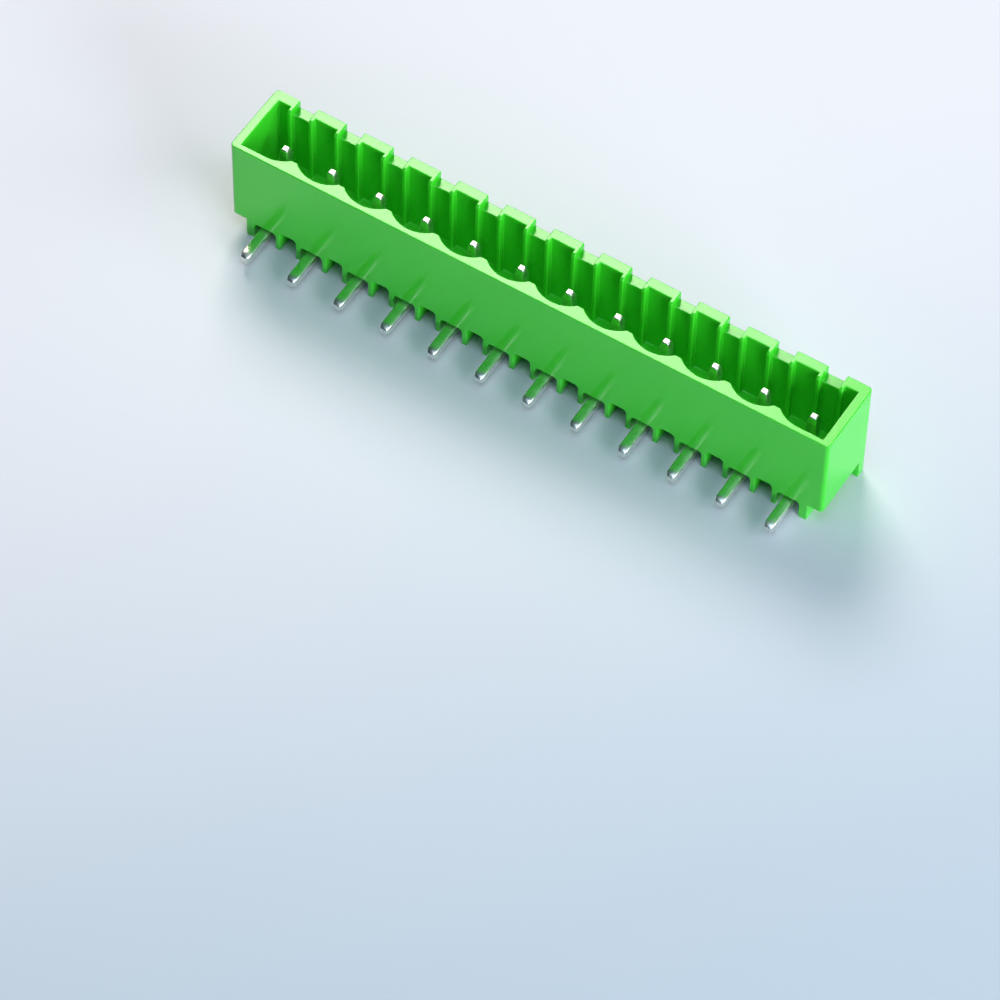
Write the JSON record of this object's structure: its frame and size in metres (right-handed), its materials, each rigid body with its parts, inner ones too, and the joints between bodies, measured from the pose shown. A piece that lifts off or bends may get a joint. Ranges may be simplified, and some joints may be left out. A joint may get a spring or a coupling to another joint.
{
  "type": "pluggable terminal block header",
  "caption": "Right-angle pin header with closed ends: it solders to a circuit board and takes the plug of a pluggable terminal block in its mouth.",
  "frame": {"origin": "centre of the footprint of the whole part on the surface that it stands on, at its back face", "axes": "+X along the row of poles, +Z from the back face to the mouth, -Y out of the face that seats on the board, the way the solder tails point"},
  "size_m": [0.063, 0.0114, 0.012],
  "materials": {
    "housing": "moulded green polyamide, smooth with a soft gloss",
    "contact": "bright tin plate over square copper-alloy wire"
  },
  "bodies": {
    "root": {"housing": "housing", "contact_pin_01": "contact", "contact_pin_02": "contact", "contact_pin_03": "contact", "contact_pin_04": "contact", "contact_pin_05": "contact", "contact_pin_06": "contact", "contact_pin_07": "contact", "contact_pin_08": "contact", "contact_pin_09": "contact", "contact_pin_10": "contact", "contact_pin_11": "contact", "contact_pin_12": "contact"}
  },
  "joints": []
}
